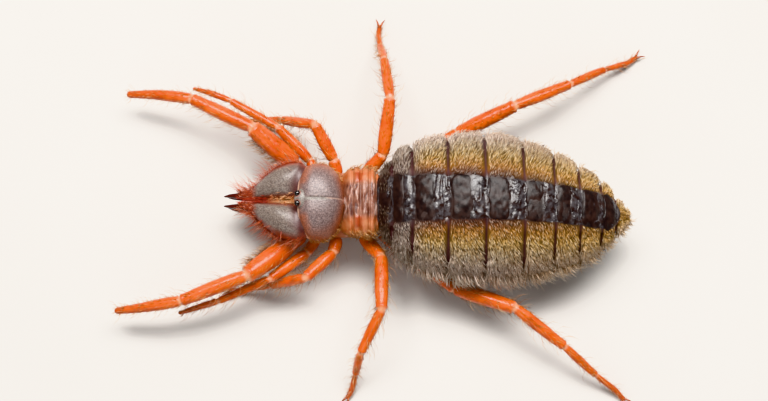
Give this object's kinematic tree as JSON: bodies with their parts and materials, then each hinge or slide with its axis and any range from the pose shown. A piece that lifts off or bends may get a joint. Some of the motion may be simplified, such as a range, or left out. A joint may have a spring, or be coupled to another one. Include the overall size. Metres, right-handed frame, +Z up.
{
  "type": "camel spider model",
  "caption": "Life-size still model of a camel spider standing with its pincers, pedipalps and legs spread, for a display or as a scene prop.",
  "frame": {"origin": "centre of the model's box, on the surface that the feet stand on", "axes": "-X is the way the head points, +X is the tail, +Y is the animal's right side, +Z is up"},
  "size_m": [0.0604, 0.0446, 0.0128],
  "materials": {
    "amber_cuticle": "waxy translucent amber-orange cuticle of the limbs, paler at the joints",
    "rosy_cuticle": "satin red-brown to mauve cuticle of the pincers, waist and hips",
    "shield_cuticle": "finely stippled grey-mauve cuticle of the head shield",
    "dark_jaw": "dark maroon horny finger tips and teeth",
    "straw_coat": "straw-yellow to grey bristly coat of the abdomen, with glossy brown-black plates along the back",
    "eye_gloss": "wet glossy black"
  },
  "bodies": {
    "root": {"abdomen": "straw_coat", "eye_left": "eye_gloss", "eye_right": "eye_gloss", "finger_left": "dark_jaw", "finger_right": "dark_jaw", "head_shield": "shield_cuticle", "hip_plate": "rosy_cuticle", "leg_1_left_coxa": "amber_cuticle", "leg_1_left_femur": "amber_cuticle", "leg_1_left_foot": "amber_cuticle", "leg_1_left_tibia": "amber_cuticle", "leg_1_right_coxa": "amber_cuticle", "leg_1_right_femur": "amber_cuticle", "leg_1_right_foot": "amber_cuticle", "leg_1_right_tibia": "amber_cuticle", "leg_2_left_coxa": "amber_cuticle", "leg_2_left_femur": "amber_cuticle", "leg_2_left_foot": "amber_cuticle", "leg_2_left_tibia": "amber_cuticle", "leg_2_right_coxa": "amber_cuticle", "leg_2_right_femur": "amber_cuticle", "leg_2_right_foot": "amber_cuticle", "leg_2_right_tibia": "amber_cuticle", "leg_3_left_coxa": "amber_cuticle", "leg_3_left_femur": "amber_cuticle", "leg_3_left_foot": "amber_cuticle", "leg_3_left_tibia": "amber_cuticle", "leg_3_right_coxa": "amber_cuticle", "leg_3_right_femur": "amber_cuticle", "leg_3_right_foot": "amber_cuticle", "leg_3_right_tibia": "amber_cuticle", "leg_4_left_coxa": "amber_cuticle", "leg_4_left_femur": "amber_cuticle", "leg_4_left_foot": "amber_cuticle", "leg_4_left_tibia": "amber_cuticle", "leg_4_right_coxa": "amber_cuticle", "leg_4_right_femur": "amber_cuticle", "leg_4_right_foot": "amber_cuticle", "leg_4_right_tibia": "amber_cuticle", "pedipalp_left_coxa": "amber_cuticle", "pedipalp_left_femur": "amber_cuticle", "pedipalp_left_foot": "amber_cuticle", "pedipalp_left_tibia": "amber_cuticle", "pedipalp_right_coxa": "amber_cuticle", "pedipalp_right_femur": "amber_cuticle", "pedipalp_right_foot": "amber_cuticle", "pedipalp_right_tibia": "amber_cuticle", "pincer_left": "rosy_cuticle", "pincer_right": "rosy_cuticle", "waist": "rosy_cuticle"}
  },
  "joints": []
}
